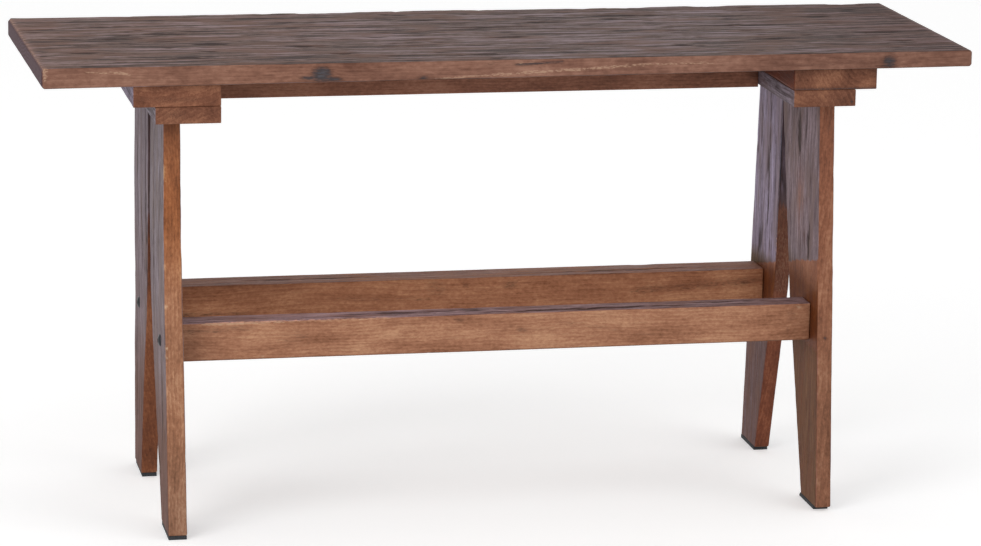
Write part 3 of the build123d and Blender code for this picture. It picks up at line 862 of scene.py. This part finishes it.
# %% Patterns of the grain
def grain_patterns(tree, strand_mm, ring_mm):
    """Noise stretched along the grain at several real sizes, and growth rings, as a dictionary."""
    place = add(tree, "ShaderNodeAttribute", attribute_name="in_log", output="Vector")
    slow = add(tree, "ShaderNodeMapping", {"Vector": place, "Scale": (1 / 170, 1 / 45, 1 / 45)})
    drift = add(tree, "ShaderNodeTexNoise", {"Vector": slow, "Scale": 1, "Detail": 2}, output="Color")
    drift = add(tree, "ShaderNodeVectorMath", {0: drift, 1: (0, 14, 14), 2: (0, -7, -7)},
                operation="MULTIPLY_ADD")
    along = add(tree, "ShaderNodeVectorMath", {0: place, 1: drift}, operation="ADD")
    # Each pattern: length along the grain, width across it, detail
    sizes_mm = {
        "fibres": (18, 1.3, 3), "strands": (24 * strand_mm, 0.8 * strand_mm, 4), "ribbons": (190, 17, 2),
        "clouds": (70, 22, 3), "grit": (1.2 * strand_mm, 0.7 * strand_mm, 3), "flecks": (4, 1.0, 1),
        "checks": (10 * strand_mm, 0.55 * strand_mm, 2),
    }
    made = {}
    for key, (run, width, detail) in sizes_mm.items():
        sized = add(tree, "ShaderNodeMapping", {"Vector": along, "Scale": (1 / run, 1 / width, 1 / width)})
        made[key] = add(tree, "ShaderNodeTexNoise", {
            "Vector": sized, "Scale": 1, "Detail": detail, "Roughness": 0.6})
    made["rings"] = add(tree, "ShaderNodeTexWave", {
        "Vector": along, "Scale": math.pi / (10 * ring_mm), "Distortion": 2.4, "Detail": 2,
        "Detail Scale": 0.1, "Detail Roughness": 0.6},
        wave_type="RINGS", rings_direction="X", wave_profile="SAW", output="Fac")
    return made


trial, trial_tree, _ = new_material("trial")
print("patterns of the grain:", ", ".join(grain_patterns(trial_tree, 3.4, 3.4)))
bpy.data.materials.remove(trial)

# %% Old pine in two finishes
def old_pine(name, grey, brown, strand_mm=3.4, ring_mm=3.4, ring_weight=0.08, streak=0.8, fleck=0.35):
    """Weathered grey and stained brown pine, each dark, middle and light, and grey's colour of clouds."""
    material, tree, shader = new_material(name, IOR=1.5, Specular_IOR_Level=0.25)
    p = grain_patterns(tree, strand_mm, ring_mm)
    stored = {key: add(tree, "ShaderNodeAttribute", attribute_name=key, output="Fac")
              for key in STORED}

    def weigh(*terms, rest=0.0):
        """Sum of sockets, each times its weight, and a constant."""
        total = rest
        for socket, weight in terms:
            total = add(tree, "ShaderNodeMath", {0: socket, 1: weight, 2: total}, operation="MULTIPLY_ADD")
        return total

    def step(socket, low, high, top=1.0):
        """Rises smoothly from 0 to a top value between two values of a socket."""
        return add(tree, "ShaderNodeMapRange", {"Value": socket, 1: low, 2: high, 3: 0.0, 4: top},
                   interpolation_type="SMOOTHSTEP")

    def over(colour, top, share):
        """A colour mixed over another by a share."""
        return add(tree, "ShaderNodeMix", {FAC: share, A: colour, B: top}, **RGBA_MIX)

    def torn(key, rim, ragged, weight):
        """A stored mark whose rim is torn by a sum of patterns; past the rim's end they act in full."""
        share = step(stored[key], 0.02, rim)
        ragged = add(tree, "ShaderNodeMath", {0: ragged, 1: share}, operation="MULTIPLY")
        return weigh((stored[key], 1.0), (ragged, weight))

    # Grey finish: light ridges, dark hollows, slow clouds towards its fourth colour, short checks
    lightness = weigh((p["fibres"], 0.35), (p["grit"], 0.3), (p["strands"], streak), (p["ribbons"], 0.4),
                      (p["checks"], -0.55), (stored["hollow"], -0.35), rest=0.25 - streak / 2)
    colour = add(tree, "ShaderNodeValToRGB", {"Fac": lightness},
                 stops=((0.3, grey[0]), (0.5, grey[1]), (0.69, grey[2])))
    colour = over(colour, linear(grey[3]), step(p["clouds"], 0.46, 0.64, 0.7))
    checks = step(p["checks"], 0.57, 0.67, 0.75 * streak)
    colour = over(colour, linear(grey[0]), checks)
    arcs = step(weigh((p["rings"], 0.6), (p["grit"], 0.5)), 0.35, 0.8, 0.7)
    grey_colour = over(colour, over(linear(grey[3]), linear(grey[2]), arcs), stored["end_grain"])

    # Brown finish: growth rings, clouds of stain, small dark flecks
    depth = weigh((p["rings"], ring_weight), (p["clouds"], 0.65), (p["strands"], 0.1), (p["fibres"], 0.2),
                  (p["grit"], 0.4), rest=-0.175 - ring_weight / 2)
    colour = add(tree, "ShaderNodeValToRGB", {"Fac": depth},
                 stops=((0.28, brown[0]), (0.5, brown[1]), (0.72, brown[2])))
    brown_colour = over(colour, linear(brown[0]), step(p["flecks"], 0.6, 0.74, fleck))

    # The finishes meet along a line that follows the strands
    bare = step(weigh((stored["weathered"], 1.0), (p["strands"], 0.5), rest=-0.25), 0.3, 0.62)
    colour = over(brown_colour, grey_colour, bare)

    # Marks: dark stains with streaky rims and a painted sheen on the darkest, pale bruises, and dirt and
    # painted shade in the deepest hollows and cracks
    ragged = weigh((p["fibres"], 1.6), (p["flecks"], 0.8), (p["grit"], 0.8), rest=-1.6)
    stained = step(torn("stain", 0.3, ragged, 0.8), 0.08, 0.95, 0.92)
    ink = over(linear("#4b2c20"), linear("#2b2c31"), step(stored["stain"], 0.4, 0.75))
    # A painted sheen: lighter grey-blue on the fibres of the darkest stains
    painted_sheen = step(weigh((stored["stain"], 1.2), (p["fibres"], 2.0)), 2.05, 2.4, 0.65)
    colour = over(colour, over(ink, linear("#565a62"), painted_sheen), stained)
    ragged = weigh((p["grit"], 0.5), (p["flecks"], 2.3), rest=-1.4)
    bruised = step(torn("bruise", 0.25, ragged, 1.0), 0.2, 0.75, 0.55)
    colour = over(colour, linear("#c3a084"), bruised)
    # Dirt and painted shade darken the deepest hollows and the cracks
    colour = over(colour, linear("#30221f"), step(stored["hollow"], 0.42, 1.0, 0.88))
    tone = add(tree, "ShaderNodeAttribute", attribute_name="tone", output="Color")
    colour = add(tree, "ShaderNodeMix", {FAC: 1.0, A: colour, B: tone}, blend_type="MULTIPLY", **RGBA_MIX)
    tree.links.new(colour, shader.inputs["Base Color"])

    rough = weigh((bare, 0.14), rest=0.6)
    tree.links.new(rough, shader.inputs["Roughness"])
    relief = weigh((p["fibres"], 0.6), (p["strands"], 0.6), (checks, -0.8))
    side = weigh((stored["end_grain"], -0.55), rest=0.7)
    bump = add(tree, "ShaderNodeBump", {"Height": relief, "Strength": side, "Distance": 0.7 * MM})
    tree.links.new(bump, shader.inputs["Normal"])
    return material


finishes = {
    "weathered_plank": old_pine(
        "old_pine_weathered_waxed", ("#372a29", "#6b5852", "#918086", "#6b5046"),
        ("#5f3c2e", "#825a49", "#a07763"), strand_mm=6.0, streak=1.15),
    "stained_batten": old_pine(
        "old_pine_sawn_stained", ("#4d4144", "#756a70", "#9a8f97", "#675859"),
        ("#512c1b", "#794c37", "#9c6b4f"), ring_mm=5.0, ring_weight=0.09, fleck=0.5),
    "stained_beam": old_pine(
        "old_pine_dark_stained", ("#4d4144", "#756a70", "#9a8f97", "#675859"),
        ("#5a382a", "#825745", "#a17460")),
    "weathered_leg": old_pine(
        "old_pine_grey_faced", ("#5a4e52", "#7d7177", "#9a8f98", "#73635f"),
        ("#5f3824", "#8c5a41", "#b07f62"), streak=0.88),
    "stained_stretcher": old_pine(
        "old_pine_planed_stained", ("#4a3b3b", "#77676a", "#95868c", "#6b524a"),
        ("#74472f", "#a06d52", "#c0906f")),
}
print("wood finishes:", ", ".join(m.name for m in finishes.values()))

# %% [markdown]
# ## Rubber, steel and beech
#
# The pads are matt black rubber. The bolts are steel with a black oxide skin,
# the screws, nails and nuts are zinc plated, and the dowels are plain turned beech. These are small, so a
# little variation in colour and roughness is all that shows.

# %% Small parts' materials
def speckled(name, dark, light, grit_mm, rough, spread, **constants):
    """A fine, even mottle between two colours, with roughness that follows it."""
    material, tree, shader = new_material(name, **constants)
    place = add(tree, "ShaderNodeTexCoord", output="Object")
    grit = add(tree, "ShaderNodeTexNoise", {"Vector": place, "Scale": 1 / (grit_mm * MM), "Detail": 3})
    colour = add(tree, "ShaderNodeValToRGB", {"Fac": grit}, stops=((0.35, dark), (0.65, light)))
    tree.links.new(colour, shader.inputs["Base Color"])
    gloss = add(tree, "ShaderNodeMath", {0: grit, 1: spread, 2: rough}, operation="MULTIPLY_ADD")
    tree.links.new(gloss, shader.inputs["Roughness"])
    bump = add(tree, "ShaderNodeBump", {"Height": grit, "Strength": 0.3, "Distance": 0.1 * MM})
    tree.links.new(bump, shader.inputs["Normal"])
    return material


finishes["black_rubber"] = speckled("rubber_moulded_matt", "#222427", "#34373b", 1.6, 0.75, 0.2, IOR=1.52)
finishes["blackened_steel"] = speckled("steel_black_oxide", "#141416", "#26262a", 0.9, 0.3, 0.2, Metallic=0.6)
finishes["zinc_steel"] = speckled("steel_zinc_plated", "#9b9c9e", "#b9babb", 1.2, 0.25, 0.2, Metallic=1.0)
finishes["beech_dowel"] = speckled("beech_turned", "#b08a62", "#c9a57c", 1.8, 0.5, 0.2, IOR=1.5)

node_slots = {part["node"]: part["material_slot"] for part in frame["record"]["subparts"]}
for name, node in frame["nodes"].items():
    node.data.materials.clear()
    node.data.materials.append(finishes[node_slots[name]])
for piece in [o for o in bpy.data.objects if o.type == "MESH" and "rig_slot" in o]:
    piece.data.materials.append(finishes[piece["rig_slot"]])
    print(piece.name, "gets", piece.data.materials[0].name)

# %% [markdown]
# ## Floor, sky and lamps
#
# The bench stands on a plain pale floor under soft light. Most of the light comes from an even white sky,
# so a colour renders about as it is written. A large lamp from the upper left front gives the forms their
# lit side, and a weak one from the right fills the other. What the camera sees behind the bench is plain
# white, and the floor keeps a soft shadow.

# %% Studio
SEEN_BY = ("Is Camera Ray", "Is Glossy Ray", "Is Transmission Ray")
SKY_LIGHT, FLOOR_LIFT, FLOOR_HALF = 0.62, 0.37, 14


def seen(tree):
    """1 for rays that show a surface, by sight, in gloss or through glass, and 0 for its light."""
    first, second, third = (add(tree, "ShaderNodeLightPath", output=ray) for ray in SEEN_BY)
    both = add(tree, "ShaderNodeMath", {0: first, 1: second}, operation="ADD")
    return add(tree, "ShaderNodeMath", {0: both, 1: third}, operation="ADD", use_clamp=True)


world = bpy.data.worlds.new("studio")
world.use_nodes = True
sky = world.node_tree
sky.nodes.clear()
strength = add(sky, "ShaderNodeMapRange", {"Value": seen(sky), 3: SKY_LIGHT, 4: 1.0})
background = add(sky, "ShaderNodeBackground", {"Color": (1, 1, 1, 1), "Strength": strength})
add(sky, "ShaderNodeOutputWorld", {"Surface": background})
bpy.context.scene.world = world

bm = bmesh.new()
bmesh.ops.create_grid(bm, x_segments=1, y_segments=1, size=FLOOR_HALF)
floor = object_from(bm, "floor")
floor_paint, tree, shader = new_material("floor_paint_matt", Roughness=0.9)
shader.inputs["Base Color"].default_value = linear("#f4f4f4")
shader.inputs["Emission Color"].default_value = (1, 1, 1, 1)
lift = add(tree, "ShaderNodeMath", {0: seen(tree), 1: FLOOR_LIFT}, operation="MULTIPLY")
tree.links.new(lift, shader.inputs["Emission Strength"])
floor.data.materials.append(floor_paint)
floor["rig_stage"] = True


def soft_lamp(name, place, aim, side, power):
    """A square area lamp that looks at a point."""
    lamp = bpy.data.lights.new(name, "AREA")
    lamp.size, lamp.energy = side, power
    holder = bpy.data.objects.new(name, lamp)
    bpy.context.scene.collection.objects.link(holder)
    holder.location = place
    holder.rotation_euler = (Vector(aim) - Vector(place)).to_track_quat("-Z", "Y").to_euler()
    print(name, "at", place, "with", power, "W")


soft_lamp("key_lamp", (-2.7, -2.3, 1.5), (0, 0, 0.3), 2.0, 46)
soft_lamp("fill_lamp", (2.2, -1.8, 1.4), (0, 0, 0.3), 2.0, 12)

bpy.context.scene.view_settings.view_transform = "Standard"

# %% [markdown]
# ## The size of the dressed bench
#
# The box of the model and the box of the dressed bench are both printed. The dressed bench has to
# stay inside the model's box.

# %% Print both boxes
visual_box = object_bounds()
for label, (low, high) in (("model", cad_box), ("dressed", visual_box)):
    print(label, "in mm:", [round(side / MM, 1) for side in high - low])
